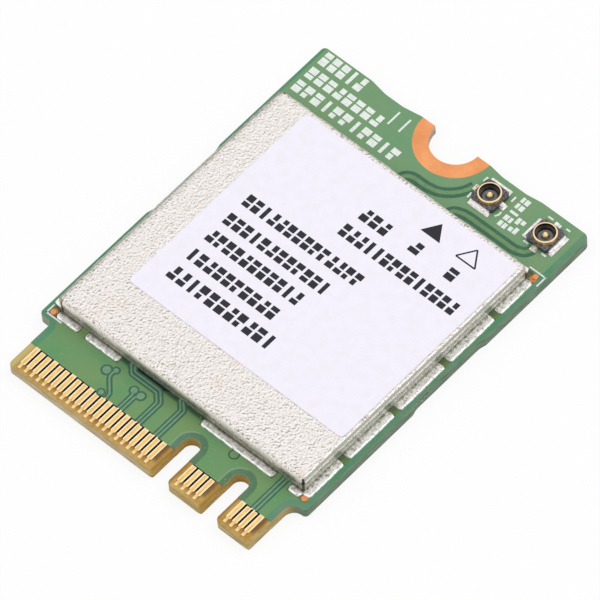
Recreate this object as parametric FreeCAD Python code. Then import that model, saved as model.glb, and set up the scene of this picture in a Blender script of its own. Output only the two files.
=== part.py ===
import FreeCAD, Part
import math
import os

# Wireless network card of a notebook computer: a bare circuit board with gold edge contacts, a half-round
# screw notch, two antenna jacks and a shielding can with a paper label. X is the width, Y the length from the
# contact edge to the screw notch, Z is up. The origin is under the middle of the board.

V = FreeCAD.Vector

# Board
board_width = 22.0
board_length = 30.0
board_thickness = 0.80
finish_thickness = 0.03
shoulder_width = 1.075
tongue_length = 4.0
tongue_left_radius = 0.40
tongue_right_radius = 0.22
edge_chamfer = 0.10
shoulder_radius = 0.30
left_shoulder_fillet = 0.40
right_shoulder_fillet = 0.75
far_left_radius = 0.30
far_right_radius = 0.50

# Shallow scars where the board was broken out of its panel: length, depth and ramp at each end
far_left_scar = (4.1, 0.22, 1.30)
far_right_scar = (4.2, 0.16, 1.10)
side_scar = (6.7, 0.13, 0.50)
far_scar_offset = 4.95
side_scar_offset = 2.0
scar_blend = 1.2

# Edge contacts, numbered across the tongue from right to left, odd on top and even below
contact_margin = 0.5
contact_pitch = 0.5
contact_width = 0.35
contact_length = 1.76
contact_setback = 0.27
contact_tip_width = 0.20
contact_tip_length = 0.33
key_notch_width = 1.2
key_notch_depth = 3.5
first_key_contacts = range(24, 32)
second_key_contacts = range(8, 16)
ground_contacts = [1, 7] + list(range(33, 76, 6))
mask_setback = 2.1

# Screw notch at the far edge
screw_notch_radius = 1.75
screw_land_radius = 2.75

# Shielding can: a folded frame soldered to the board and a folded lid pressed over it
shield_side_margin = 0.95
shield_front_margin = 4.92
shield_far_margin = 4.68
shield_height = 1.25
lid_sheet = 0.13
frame_sheet = 0.15
lid_clearance = 0.02
lid_bend = 0.22
frame_bend = 0.24
lid_skirt = 0.56
skirt_corner_radius = 0.18
corner_slit = 0.20
solder_thickness = 0.03
frame_flange = 1.10
bridge_width = 2.4
bridge_pad_radius = 2.6

# Solder lands under the frame and the gaps between them
land_outside = 0.52
land_inside = 0.42
solder_climb = 0.20
solder_edge = 0.05
solder_inset = 0.04
solder_corner_gap = 0.12
side_gap_pitch = 4.57
side_gap_width = 0.45
side_gap_count = 4
end_gap_offset = 2.10
end_gap_width = 0.50
track_gap_start = 5.15
track_gap_width = 6.80
pair_gap_offset = 0.98
pair_gap_width = 1.18
feed_gap_width = 1.30
gap_arch_height = 0.50
track_arch_height = 0.12
arch_bevel = 0.08

# Label on the lid, set in from its edges
label_left_margin = 2.20
label_right_margin = 0.30
label_front_margin = 3.80
label_far_margin = 0.37
label_thickness = 0.06
label_corner_radius = 0.30
label_worn_radius = 0.50

# Antenna jacks: a drawn shell, a moulded insulator and a centre pin
jack_inset = 1.80
main_jack_clearance = 0.33
aux_jack_inset = 2.08
jack_height = 0.57
ring_radius = 0.77
ring_bore = 0.68
ring_root_radius = 0.60
ring_root_bore = 0.52
ring_root_rise = 0.08
ring_base = 0.12
ring_lip = 0.03
insulator_length = 1.84
insulator_width = 1.84
insulator_height = 0.28
insulator_chamfer = 0.22
pin_radius = 0.19
pin_height = 0.46
pin_strip_width = 0.34
foot_thickness = 0.10
ground_foot_length = 1.50
ground_foot_reach = 1.14
signal_foot_reach = 1.20
signal_foot_width = 0.30
pad_margin = 0.08
feed_x = (-0.80, 3.20)

# Radio chip and the parts round it, placed from the can's walls
part_clearance = 0.45
chip_size = 7.0
chip_height = 0.80
chip_standoff = 0.05
chip_lead_count = 12
chip_lead_pitch = 0.5
chip_lead_width = 0.24
chip_lead_length = 0.36
chip_paddle = 4.8
pin_one_corner = 0.50
module_size = 3.0
module_height = 0.60
filter_size = (1.6, 0.8)
filter_height = 0.60
filter_gap = 0.25
column_width = 2.0
coil_length = 1.6
coil_height = 0.85
coil_starts = (1.4, 3.6)
regulator_length = 2.0
regulator_height = 0.75
regulator_start = 5.8
crystal_length = 2.5
crystal_start = 8.6
crystal_base_height = 0.35
crystal_lid_height = 0.20
crystal_rim = 0.12
memory_length = 3.0
memory_start = 1.4
memory_height = 0.60
small_part = (1.0, 0.5)
terminal_length = 0.25
terminal_step = 0.02
capacitor_height = 0.50
capacitor_gap = 0.35
capacitors_per_side = 3
capacitor_pitch = 2.0
resistor_height = 0.33
resistor_count = 5
resistor_pitch = 1.1
resistor_start = 5.6

# Test pads on the back
test_pad_size = 0.80
test_pad_pitch = 2.5
test_pad_columns = 4
test_pad_rows = 2
test_pad_side_margin = 1.70
test_pad_far_margin = 4.67

# Places worked out from the driving dimensions
half_width = board_width / 2
front_edge = -board_length / 2
far_edge = board_length / 2
shoulder_edge = front_edge + tongue_length
board_top = board_thickness
top_finish = board_top - finish_thickness
tongue_width = board_width - 2 * shoulder_width
contact_room = tongue_width - 2 * contact_margin - contact_width
last_contact = 1 + math.floor(contact_room / (contact_pitch / 2) + 1e-6)
middle_contact = (last_contact + 1) / 2
shield_right = half_width - shield_side_margin
shield_left = -shield_right
shield_front = front_edge + shield_front_margin
shield_far = far_edge - shield_far_margin
shield_width = shield_right - shield_left
shield_length = shield_far - shield_front
shield_middle = (shield_front + shield_far) / 2
lid_top = board_top + shield_height
frame_top = lid_top - lid_sheet
frame_inset = lid_sheet + lid_clearance
seat = board_top + solder_thickness
jack_y = far_edge - jack_inset
main_jack_x = screw_land_radius + main_jack_clearance + signal_foot_reach + pad_margin
aux_jack_x = half_width - aux_jack_inset
inner_wall = frame_inset + frame_sheet
column_x = shield_right - inner_wall - part_clearance / 2 - column_width / 2
capacitor_reach = capacitor_gap + small_part[0]
chip_y = shield_front + inner_wall + part_clearance + capacitor_reach + chip_size / 2
filter_y = shield_far - inner_wall - part_clearance - filter_size[1] / 2
module_y = filter_y - filter_size[1] / 2 - filter_gap - module_size / 2


def block(x0, x1, y0, y1, z0, z1):
    """Box between two corners."""
    return Part.makeBox(x1 - x0, y1 - y0, z1 - z0, V(x0, y0, z0))


def centred_block(x, y, size, z0, z1):
    """Box of a plan size over a centre."""
    return block(x - size[0] / 2, x + size[0] / 2, y - size[1] / 2, y + size[1] / 2, z0, z1)


def rounded_face(corners):
    """Flat face from corners (x, y, radius), with a true arc at each corner that has a radius."""
    starts = []
    ends = []
    arcs = []
    for i, (x, y, radius) in enumerate(corners):
        here = V(x, y, 0)
        to_last = (V(corners[i - 1][0], corners[i - 1][1], 0) - here).normalize()
        following = corners[(i + 1) % len(corners)]
        to_next = (V(following[0], following[1], 0) - here).normalize()
        if radius == 0:
            starts.append(here)
            ends.append(here)
            arcs.append(None)
            continue
        half_angle = to_last.getAngle(to_next) / 2
        bisector = (to_last + to_next).normalize()
        centre = here + bisector * (radius / math.sin(half_angle))
        starts.append(here + to_last * (radius / math.tan(half_angle)))
        ends.append(here + to_next * (radius / math.tan(half_angle)))
        arcs.append(Part.Arc(starts[-1], centre - bisector * radius, ends[-1]).toShape())
    edges = []
    for i, arc in enumerate(arcs):
        if arc:
            edges.append(arc)
        target = starts[(i + 1) % len(starts)]
        if ends[i].distanceToPoint(target) > 1e-6:
            edges.append(Part.makeLine(ends[i], target))
    return Part.Face(Part.Wire(edges))


def rectangle(x0, x1, y0, y1, radius=0):
    """Corners of a rectangle, anticlockwise, all with one radius."""
    return [(x0, y0, radius), (x1, y0, radius), (x1, y1, radius), (x0, y1, radius)]


def slab(face, z0, z1):
    """Face drawn in the XY plane, made solid between two heights."""
    solid = face.extrude(V(0, 0, z1 - z0))
    solid.translate(V(0, 0, z0))
    return solid


def fused(solids):
    """One clean solid from several that touch or overlap."""
    return solids[0].multiFuse(solids[1:]).removeSplitter()


def turned(shape, angle, x, y, z=0.0):
    """Copy turned about Z and moved to a place."""
    copy = shape.copy()
    copy.rotate(V(0, 0, 0), V(0, 0, 1), angle)
    copy.translate(V(x, y, z))
    return copy


def contact_x(number):
    """Place across the tongue of a numbered contact."""
    return (middle_contact - number) * contact_pitch / 2


def key_x(contacts):
    """Middle of a key notch, which takes the place of a range of contacts."""
    return (contact_x(contacts[0]) + contact_x(contacts[-1])) / 2


def scar(middle, size):
    """Four points of a shallow scar, along the edge and inwards, in rising order."""
    length, depth, ramp = size
    start = middle - length / 2
    end = middle + length / 2
    return [(start, 0, 0), (start + ramp, depth, scar_blend), (end - ramp, depth, scar_blend), (end, 0, 0)]


def tongue_corners():
    """Front outline from left to right, with the two round-ended key notches."""
    corners = [(-tongue_width / 2, front_edge, tongue_left_radius)]
    notch_end = front_edge + key_notch_depth
    for key in (first_key_contacts, second_key_contacts):
        left = key_x(key) - key_notch_width / 2
        right = key_x(key) + key_notch_width / 2
        corners.append((left, front_edge, tongue_right_radius))
        corners.append((left, notch_end, key_notch_width / 2))
        corners.append((right, notch_end, key_notch_width / 2))
        corners.append((right, front_edge, tongue_left_radius))
    corners.append((tongue_width / 2, front_edge, tongue_right_radius))
    return corners


def board_corners():
    """Whole outline of the board, anticlockwise from the front left corner of the tongue."""
    corners = tongue_corners()
    corners.append((tongue_width / 2, shoulder_edge, right_shoulder_fillet))
    corners.append((half_width, shoulder_edge, shoulder_radius))
    corners += [(half_width - depth, y, r) for y, depth, r in scar(side_scar_offset, side_scar)]
    corners.append((half_width, far_edge, far_right_radius))
    right_scar = reversed(scar(far_scar_offset, far_right_scar))
    corners += [(x, far_edge - depth, r) for x, depth, r in right_scar]
    left_scar = reversed(scar(-far_scar_offset, far_left_scar))
    corners += [(x, far_edge - depth, r) for x, depth, r in left_scar]
    corners.append((-half_width, far_edge, far_left_radius))
    left_side_scar = reversed(scar(side_scar_offset, side_scar))
    corners += [(-half_width + depth, y, r) for y, depth, r in left_side_scar]
    corners.append((-half_width, shoulder_edge, shoulder_radius))
    corners.append((-tongue_width / 2, shoulder_edge, left_shoulder_fillet))
    return corners


def outline_slab(z0, z1):
    """Board outline between two heights, with the half-round screw notch."""
    notch = Part.makeCylinder(screw_notch_radius, z1 - z0, V(0, far_edge, z0))
    return slab(rounded_face(board_corners()), z0, z1).cut(notch)


def circuit_board():
    """Glass laminate with a small chamfer along the front edge of the tongue, above and below."""
    core = outline_slab(finish_thickness, top_finish)
    wedges = []
    for z, drop in ((finish_thickness, edge_chamfer), (top_finish, -edge_chamfer)):
        section = Part.makePolygon([
            V(-half_width, front_edge, z), V(-half_width, front_edge + edge_chamfer, z),
            V(-half_width, front_edge, z + drop), V(-half_width, front_edge, z)])
        wedges.append(Part.Face(section).extrude(V(board_width, 0, 0)))
    return core.cut(wedges)


def screw_land(z0):
    """Copper half ring round the screw notch, on one face."""
    z1 = z0 + finish_thickness
    disc = Part.makeCylinder(screw_land_radius, finish_thickness, V(0, far_edge, z0))
    return disc.common(outline_slab(z0, z1))


def edge_contact(z0, end):
    """One gold contact with a stepped tip, from near the tongue's edge to its other end."""
    tip = front_edge + contact_setback
    step = tip + contact_tip_length
    slope = (contact_width - contact_tip_width) / 2
    corners = [
        (-contact_tip_width / 2, tip, 0),
        (contact_tip_width / 2, tip, 0),
        (contact_tip_width / 2, step, 0),
        (contact_width / 2, step + slope, 0),
        (contact_width / 2, end, 0),
        (-contact_width / 2, end, 0),
        (-contact_width / 2, step + slope, 0),
        (-contact_tip_width / 2, step, 0),
    ]
    return slab(rounded_face(corners), z0, z0 + finish_thickness)


def edge_contacts(numbers, z0):
    """Contacts of one face. The ground ones run on to the lacquer, the others stop just short of it."""
    signal = edge_contact(z0, front_edge + contact_setback + contact_length)
    ground = edge_contact(z0, front_edge + mask_setback)
    taken = list(first_key_contacts) + list(second_key_contacts)
    return [turned(ground if n in ground_contacts else signal, 0, contact_x(n), 0)
            for n in numbers if n not in taken]


# Sides of the can: each runs from its left corner, seen from outside, and its own Y axis points inwards
sides = {
    "front": (0, shield_left, shield_front, shield_width),
    "right": (90, shield_right, shield_front, shield_length),
    "far": (180, shield_right, shield_far, shield_width),
    "left": (270, shield_left, shield_far, shield_length),
}


def on_side(shape, name):
    """Copy of a shape drawn along a side, put where that side is, with its Z at the board's top face."""
    angle, x, y, length = sides[name]
    return turned(shape, angle, x, y, board_top)


def side_gaps(name):
    """Gaps between the solder lands of one side: start, end and height of the frame's arch over it."""
    length = sides[name][3]
    half = end_gap_width / 2
    first = (end_gap_offset - half, end_gap_offset + half, gap_arch_height)
    last = (length - end_gap_offset - half, length - end_gap_offset + half, gap_arch_height)
    if name == "front":
        tracks = (track_gap_start, track_gap_start + track_gap_width, track_arch_height)
        pair = (length - pair_gap_offset - pair_gap_width, length - pair_gap_offset, track_arch_height)
        return [first, tracks, pair]
    if name == "far":
        feeds = [shield_right - x for x in reversed(feed_x)]
        exits = [(t - feed_gap_width / 2, t + feed_gap_width / 2, gap_arch_height) for t in feeds]
        return [first] + exits + [last]
    middles = [length / 2 + (i - (side_gap_count - 1) / 2) * side_gap_pitch for i in range(side_gap_count)]
    return [(m - side_gap_width / 2, m + side_gap_width / 2, gap_arch_height) for m in middles]


def side_stretches(name):
    """Stretches of solder between the gaps of one side."""
    length = sides[name][3]
    stops = [solder_corner_gap]
    for start, end, arch in side_gaps(name):
        stops += [start - solder_inset, end + solder_inset]
    stops.append(length - solder_corner_gap)
    return list(zip(stops[0::2], stops[1::2]))


def shield_lands():
    """Copper ring under the can, broken by the gaps and whole round the corners."""
    outer = slab(rounded_face(rectangle(
        shield_left - land_outside, shield_right + land_outside,
        shield_front - land_outside, shield_far + land_outside)), top_finish, board_top)
    inner = slab(rounded_face(rectangle(
        shield_left + land_inside, shield_right - land_inside,
        shield_front + land_inside, shield_far - land_inside)), top_finish, board_top)
    cutters = [inner]
    for name in sides:
        for start, end, arch in side_gaps(name):
            gap = block(start, end, -2 * land_outside, 2 * land_inside, -2 * finish_thickness, 0)
            cutters.append(on_side(gap, name))
    return outer.cut(cutters)


def shield_solder():
    """Solder between the lands and the frame's foot, drawn up against the outside of the wall."""
    wall = frame_inset
    inner = frame_inset + frame_sheet
    profile = [
        (V(0, -land_outside + solder_edge / 2, 0), V(0, -land_outside + solder_edge, solder_edge)),
        (V(0, -land_outside / 2, solder_edge + solder_thickness / 2), None),
    ]
    shoulder = profile[1][0]
    crest = V(0, wall, solder_climb)
    sag = V(0, wall / 2 - land_outside / 4, (solder_climb + 2 * solder_edge) / 3)
    path = [
        Part.makeLine(profile[0][0], profile[0][1]),
        Part.makeLine(profile[0][1], shoulder),
        Part.Arc(shoulder, sag, crest).toShape(),
    ]
    rest = [crest, V(0, wall, solder_thickness), V(0, inner, solder_thickness),
            V(0, inner, solder_thickness + solder_edge / 2), V(0, land_inside - solder_edge, 0),
            profile[0][0]]
    path += [Part.makeLine(a, b) for a, b in zip(rest, rest[1:])]
    section = Part.Face(Part.Wire(path))
    strips = []
    for name in sides:
        length = sides[name][3]
        depth = 2 * land_inside
        mitre = slab(rounded_face([(0, 0, 0), (depth, depth, 0), (0, depth, 0)]), 0, solder_climb)
        far_mitre = slab(rounded_face([(length, 0, 0), (length, depth, 0), (length - depth, depth, 0)]),
                         0, solder_climb)
        for start, end in side_stretches(name):
            strip = section.extrude(V(end - start, 0, 0))
            strip.translate(V(start, 0, 0))
            strips.append(on_side(strip.cut([mitre, far_mitre]), name))
    return strips


def folded_side(length, top, foot, sheet, bend, foot_radius, arches=()):
    """One side folded down from a flat top: a quarter bend and a wall with arches cut in its foot.

    It runs along X from 0, its outer face is the plane Y = 0 and its top surface is at height top."""
    half = math.sqrt(0.5)
    outer = Part.Arc(V(0, 0, top - bend), V(0, bend - bend * half, top - bend + bend * half), V(0, bend, top))
    inner_bend = bend - sheet
    inner = Part.Arc(
        V(0, bend, top - sheet),
        V(0, bend - inner_bend * half, top - bend + inner_bend * half),
        V(0, sheet, top - bend))
    section = Part.Face(Part.Wire([
        outer.toShape(),
        Part.makeLine(V(0, bend, top), V(0, bend, top - sheet)),
        inner.toShape(),
        Part.makeLine(V(0, sheet, top - bend), V(0, sheet, foot)),
        Part.makeLine(V(0, sheet, foot), V(0, 0, foot)),
        Part.makeLine(V(0, 0, foot), V(0, 0, top - bend)),
    ]))
    corners = [(0, foot, foot_radius)]
    for start, end, height in arches:
        crown = foot + height
        corners += [(start, foot, 0), (start, crown - arch_bevel, 0), (start + arch_bevel, crown, 0),
                    (end - arch_bevel, crown, 0), (end, crown - arch_bevel, 0), (end, foot, 0)]
    corners += [(length, foot, foot_radius), (length, top + sheet, 0), (0, top + sheet, 0)]
    plate = rounded_face(corners).extrude(V(0, 0, -2 * bend))
    plate.rotate(V(0, 0, 0), V(1, 0, 0), 90)
    return section.extrude(V(length, 0, 0)).common(plate)


def folded_can(inset, sheet, bend, top, foot, foot_radius, arched):
    """Flat top with four folded sides that stop short of the corners, set in from the can's outside."""
    flat = rectangle(shield_left + inset + bend, shield_right - inset - bend,
                     shield_front + inset + bend, shield_far - inset - bend)
    pieces = [slab(rounded_face(flat), board_top + top - sheet, board_top + top)]
    for name in sides:
        end = inset + corner_slit
        length = sides[name][3] - 2 * end
        arches = [(a - end, b - end, h) for a, b, h in side_gaps(name)] if arched else []
        side = folded_side(length, top, foot, sheet, bend, foot_radius, arches)
        side.translate(V(end, inset, 0))
        pieces.append(on_side(side, name))
    return fused(pieces)


def shield_frame():
    """Frame with arches over the gaps, an open top and the pick-up bridge across it."""
    top = shield_height - lid_sheet
    can = folded_can(frame_inset, frame_sheet, frame_bend, top, solder_thickness, skirt_corner_radius, True)
    reach = frame_inset + frame_flange
    opening = block(shield_left + reach, shield_right - reach, shield_front + reach, shield_far - reach,
                    frame_top - frame_sheet, frame_top)
    bridge = block(shield_left + reach, shield_right - reach, shield_middle - bridge_width / 2,
                   shield_middle + bridge_width / 2, frame_top - frame_sheet, frame_top)
    pad = Part.makeCylinder(bridge_pad_radius, frame_sheet, V(0, shield_middle, frame_top - frame_sheet))
    return can.cut(opening.cut(fused([bridge, pad])))


def shield_lid():
    """Lid with a short skirt, open at the corners."""
    foot = shield_height - lid_skirt
    return folded_can(0, lid_sheet, lid_bend, shield_height, foot, skirt_corner_radius, False)


def label():
    """Paper label on the lid, with one worn corner."""
    x0 = shield_left + label_left_margin
    y0 = shield_front + label_front_margin
    x1 = shield_right - label_right_margin
    y1 = shield_far - label_far_margin
    corners = rectangle(x0, x1, y0, y1, label_corner_radius)
    corners[0] = (x0, y0, label_worn_radius)
    return slab(rounded_face(corners), lid_top, lid_top + label_thickness)


def jack_shell():
    """Drawn ring on a narrow root in the moulding, two ground feet and a small side foot."""
    lip = jack_height - ring_lip
    profile = [
        V(ring_root_bore, 0, ring_base), V(ring_root_radius, 0, ring_base),
        V(ring_root_radius, 0, insulator_height), V(ring_radius, 0, insulator_height),
        V(ring_radius, 0, lip), V(ring_radius - ring_lip, 0, jack_height), V(ring_bore, 0, jack_height),
        V(ring_bore, 0, insulator_height + ring_root_rise), V(ring_root_bore, 0, insulator_height),
        V(ring_root_bore, 0, ring_base),
    ]
    ring = Part.Face(Part.makePolygon(profile)).revolve(V(0, 0, 0), V(0, 0, 1), 360)
    pieces = [ring]
    half = ground_foot_length / 2
    root = (ring_root_bore + ring_root_radius) / 2
    knee = insulator_width / 2
    for turn in (0, 180):
        leg = block(-half / 2, half / 2, root, knee, ring_base, ring_base + foot_thickness)
        drop = block(-half, half, knee, knee + foot_thickness, 0, ring_base + foot_thickness)
        foot = block(-half, half, knee, ground_foot_reach, 0, foot_thickness)
        pieces += [turned(shape, turn, 0, 0) for shape in (leg, drop, foot)]
    side = signal_foot_width / 2
    pieces.append(block(root, insulator_length / 2, -side, side, ring_base, ring_base + foot_thickness))
    pieces.append(block(insulator_length / 2, signal_foot_reach, -side, side, 0, ring_base + foot_thickness))
    return fused(pieces)


def jack_pin():
    """Centre pin with a bevelled tip, on a strip that runs out to its signal foot."""
    tip = pin_radius / 2
    shaft = Part.makeCylinder(pin_radius, pin_height - tip)
    point = Part.makeCone(pin_radius, pin_radius - tip, tip, V(0, 0, pin_height - tip))
    half = pin_strip_width / 2
    strip = block(-signal_foot_reach, 0, -half, half, 0, foot_thickness)
    return fused([shaft, point, strip])


def jack_insulator():
    """Moulded block round the shell, with the flat floor that the ring and the pin stand on."""
    a = insulator_length / 2
    b = insulator_width / 2
    c = insulator_chamfer
    corners = [(a - c, -b, 0), (a, -b + c, 0), (a, b - c, 0), (a - c, b, 0),
               (-a + c, b, 0), (-a, b - c, 0), (-a, -b + c, 0), (-a + c, -b, 0)]
    moulding = slab(rounded_face(corners), 0, insulator_height)
    well = Part.makeCylinder(ring_root_radius, insulator_height, V(0, 0, ring_base))
    return moulding.cut([well, jack_shell(), jack_pin()])


def jack_pads():
    """Solder pads of one jack: two ground, one signal and one side pad."""
    half = ground_foot_length / 2 + pad_margin
    inner = insulator_width / 2 - pad_margin
    outer = ground_foot_reach + pad_margin
    side = signal_foot_width / 2 + pad_margin
    start = insulator_length / 2 - pad_margin
    end = signal_foot_reach + pad_margin
    return [(-half, half, inner, outer), (-half, half, -outer, -inner),
            (-end, -start, -side, side), (start, end, -side, side)]


jack_places = {"main": (0, main_jack_x), "aux": (90, aux_jack_x)}


def at_jack(shape, name, z):
    """Copy of a shape drawn for one jack, put where that jack stands."""
    angle, x = jack_places[name]
    return turned(shape, angle, x, jack_y, z)


def jack_layer(z0, z1):
    """The pads of both jacks between two heights."""
    return [at_jack(block(*pad, z0, z1), name, 0) for name in jack_places for pad in jack_pads()]


def row(count, pitch):
    """Places along a row that is centred on zero."""
    return [(i - (count - 1) / 2) * pitch for i in range(count)]


def in_column(x, start, length, z0, z1):
    """Box in the column of parts along one side wall, at a distance from the can's front."""
    return centred_block(x, shield_front + start + length / 2, (column_width, length), z0, z1)


def chip_leads():
    """Leads under the four edges of the radio chip and the paddle in the middle, with their solder."""
    z1 = seat + chip_standoff
    inner = chip_size / 2 - chip_lead_length
    half = chip_lead_width / 2
    leads = [centred_block(0, chip_y, (chip_paddle, chip_paddle), board_top, z1)]
    for angle in (0, 90, 180, 270):
        for t in row(chip_lead_count, chip_lead_pitch):
            lead = block(t - half, t + half, inner, chip_size / 2, board_top, z1)
            leads.append(turned(lead, angle, 0, chip_y))
    return leads


def radio_chip():
    """Moulded body with a cut corner beside its first lead."""
    z0 = seat + chip_standoff
    half = chip_size / 2
    corners = [(-half, chip_y - half, 0), (half, chip_y - half, 0), (half, chip_y + half, 0),
               (-half + pin_one_corner, chip_y + half, 0), (-half, chip_y + half - pin_one_corner, 0)]
    return slab(rounded_face(corners), z0, z0 + chip_height)


def crystal():
    """Ceramic base and metal lid of the reference crystal."""
    z1 = seat + crystal_base_height
    z2 = z1 + crystal_lid_height
    base = in_column(-column_x, crystal_start, crystal_length, seat, z1)
    y = shield_front + crystal_start + crystal_length / 2
    size = (column_width - 2 * crystal_rim, crystal_length - 2 * crystal_rim)
    return base, centred_block(-column_x, y, size, z1, z2)


def two_terminal(height):
    """Small part with a raised metal terminal at each end, along X."""
    size = (small_part[0] - 2 * terminal_step, small_part[1] - 2 * terminal_step)
    body = centred_block(0, 0, size, terminal_step, height - terminal_step)
    shift = (small_part[0] - terminal_length) / 2
    ends = [centred_block(x, 0, (terminal_length, small_part[1]), 0, height) for x in (-shift, shift)]
    return fused([body] + ends)


def capacitor_places():
    """Turn and plan place of each capacitor, in a row along each side of the chip."""
    reach = chip_size / 2 + capacitor_gap + small_part[0] / 2
    places = []
    for angle in (0, 90, 180, 270):
        c = math.cos(math.radians(angle))
        s = math.sin(math.radians(angle))
        for t in row(capacitors_per_side, capacitor_pitch):
            places.append((angle + 90, t * c - reach * s, chip_y + t * s + reach * c))
    return places


def resistor_places():
    """Turn and plan place of each resistor, in the column along the right wall."""
    return [(0, column_x, shield_front + resistor_start + i * resistor_pitch) for i in range(resistor_count)]


def seated(places, part):
    """Copies of a small part on its solder."""
    return [turned(part, angle, x, y, seat) for angle, x, y in places]


def component_solder(solids):
    """Solder under each inner part: under the terminals of the small ones and all under the others."""
    joints = []
    shift = (small_part[0] - terminal_length) / 2
    for angle, x, y in capacitor_places() + resistor_places():
        for end in (-shift, shift):
            joint = centred_block(end, 0, (terminal_length, small_part[1]), board_top, seat)
            joints.append(turned(joint, angle, x, y))
    for solid in solids:
        box = solid.BoundBox
        joints.append(block(box.XMin, box.XMax, box.YMin, box.YMax, board_top, seat))
    return joints


def test_pads():
    """Square gold pads on the back."""
    size = (test_pad_size, test_pad_size)
    x0 = shield_left + test_pad_side_margin
    y0 = shield_far - test_pad_far_margin
    return [centred_block(x0 + i * test_pad_pitch, y0 - j * test_pad_pitch, size, 0, finish_thickness)
            for i in range(test_pad_columns) for j in range(test_pad_rows)]


def solder_mask(z0, openings):
    """Green lacquer on one face, up to the bare strip of the contacts, with an opening at each land."""
    mask = outline_slab(z0, z0 + finish_thickness)
    bare = block(-half_width, half_width, front_edge, front_edge + mask_setback, z0, z0 + finish_thickness)
    return mask.cut([bare] + openings)


odd_contacts = range(1, last_contact + 1, 2)
even_contacts = range(2, last_contact, 2)
top_land = screw_land(top_finish)
bottom_land = screw_land(0)
can_lands = shield_lands()
jack_lands = jack_layer(top_finish, board_top)
back_pads = test_pads()
crystal_base, crystal_lid = crystal()
memory = in_column(column_x, memory_start, memory_length, seat, seat + memory_height)
regulator = in_column(-column_x, regulator_start, regulator_length, seat, seat + regulator_height)
coils = [in_column(-column_x, start, coil_length, seat, seat + coil_height) for start in coil_starts]
modules = [centred_block(x, module_y, (module_size, module_size), seat, seat + module_height) for x in feed_x]
filters = [centred_block(x, filter_y, filter_size, seat, seat + filter_height) for x in feed_x]

nodes = {
    "circuit_board": [circuit_board()],
    "solder_mask_top": [solder_mask(top_finish, [top_land, can_lands] + jack_lands)],
    "solder_mask_bottom": [solder_mask(0, [bottom_land] + back_pads)],
    "edge_contacts_top": edge_contacts(odd_contacts, top_finish),
    "edge_contacts_bottom": edge_contacts(even_contacts, 0),
    "screw_land_top": [top_land],
    "screw_land_bottom": [bottom_land],
    "test_pads": back_pads,
    "shield_lands": [can_lands],
    "shield_solder": shield_solder(),
    "shield_frame": [shield_frame()],
    "shield_lid": [shield_lid()],
    "label": [label()],
    "jack_lands": jack_lands,
    "jack_solder": jack_layer(board_top, seat),
    "radio_chip": [radio_chip()],
    "radio_chip_leads": chip_leads(),
    "crystal_base": [crystal_base],
    "crystal_lid": [crystal_lid],
    "main_front_end_module": [modules[1]],
    "aux_front_end_module": [modules[0]],
    "antenna_filters": filters,
    "memory_chip": [memory],
    "supply_regulator": [regulator],
    "supply_coils": coils,
    "capacitors": seated(capacitor_places(), two_terminal(capacitor_height)),
    "resistors": seated(resistor_places(), two_terminal(resistor_height)),
    "component_solder": component_solder([crystal_base, memory, regulator] + coils + modules + filters),
}
for jack in jack_places:
    nodes[jack + "_jack_shell"] = [at_jack(jack_shell(), jack, seat)]
    nodes[jack + "_jack_insulator"] = [at_jack(jack_insulator(), jack, seat)]
    nodes[jack + "_jack_pin"] = [at_jack(jack_pin(), jack, seat)]

os.makedirs("parts", exist_ok=True)
for node, solids in nodes.items():
    shape = solids[0] if len(solids) == 1 else Part.makeCompound(solids)
    shape.exportStep("parts/" + node + ".step")
    print(node, len(shape.Solids), "solids", round(shape.Volume, 4), "mm3", "valid", shape.isValid())
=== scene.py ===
"""Looks of a small wireless network card: materials, tracks, marks and solder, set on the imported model."""
import math
import random

import bpy
from mathutils import Matrix, Vector, noise


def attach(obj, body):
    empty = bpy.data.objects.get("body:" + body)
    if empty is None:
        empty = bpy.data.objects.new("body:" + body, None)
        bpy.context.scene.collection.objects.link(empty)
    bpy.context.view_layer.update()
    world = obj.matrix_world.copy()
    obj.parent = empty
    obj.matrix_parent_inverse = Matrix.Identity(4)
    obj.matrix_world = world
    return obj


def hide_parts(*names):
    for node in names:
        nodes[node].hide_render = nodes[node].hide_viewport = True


MM = 0.001
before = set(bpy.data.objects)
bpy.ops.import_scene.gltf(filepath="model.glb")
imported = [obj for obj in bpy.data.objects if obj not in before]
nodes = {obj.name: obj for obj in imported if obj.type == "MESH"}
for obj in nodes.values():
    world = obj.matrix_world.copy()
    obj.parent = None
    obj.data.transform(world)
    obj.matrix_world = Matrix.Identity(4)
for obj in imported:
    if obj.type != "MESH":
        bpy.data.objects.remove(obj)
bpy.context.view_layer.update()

# Heights, in millimetres. Thin pieces start a little inside the surface that they lie on
BOARD_TOP = 0.80
LAMINATE_TOP = 0.77
SKIRT_FOOT = 1.49
LID_TOP = 2.05
LABEL_FLAT = 2.088
BOX_TOP = 2.11
SUNK = 0.002
BURIED = BOARD_TOP - SUNK
CLEARANCE_TOP = BOARD_TOP + 0.004
TRACK_TOP = BOARD_TOP + 0.010
SILK_TOP = BOARD_TOP + 0.016
PRINT_TOP = LABEL_FLAT + 0.005
OVERLAP_STEP = 0.0003

# Plan sizes, in millimetres. A shoulder's fillet has its side, 1 for the right, and its radius
HALF_WIDTH = 11.0
HALF_LENGTH = 15.0
TONGUE_HALF = 9.925
SHOULDER_Y = -11.0
SHOULDER_FILLETS = ((1, 0.75), (-1, 0.40))
MASK_FRONT = -12.9
NOTCH_X = (2.625, 6.625)
NOTCH_TOP = -11.5
NOTCH_RADIUS = 0.6
CAN_SIDE = 10.05
CAN_FRONT = -10.08
CAN_FAR = 10.32
CAN_MIDDLE = (CAN_FRONT + CAN_FAR) / 2
JACKS = ((4.36, 13.2), (8.92, 13.2))
CONTACT_PITCH = 0.5
CONTACT_GROUPS = ((-9.425, 1.425), (3.575, 5.425), (7.575, 9.425))


# Materials

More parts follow.
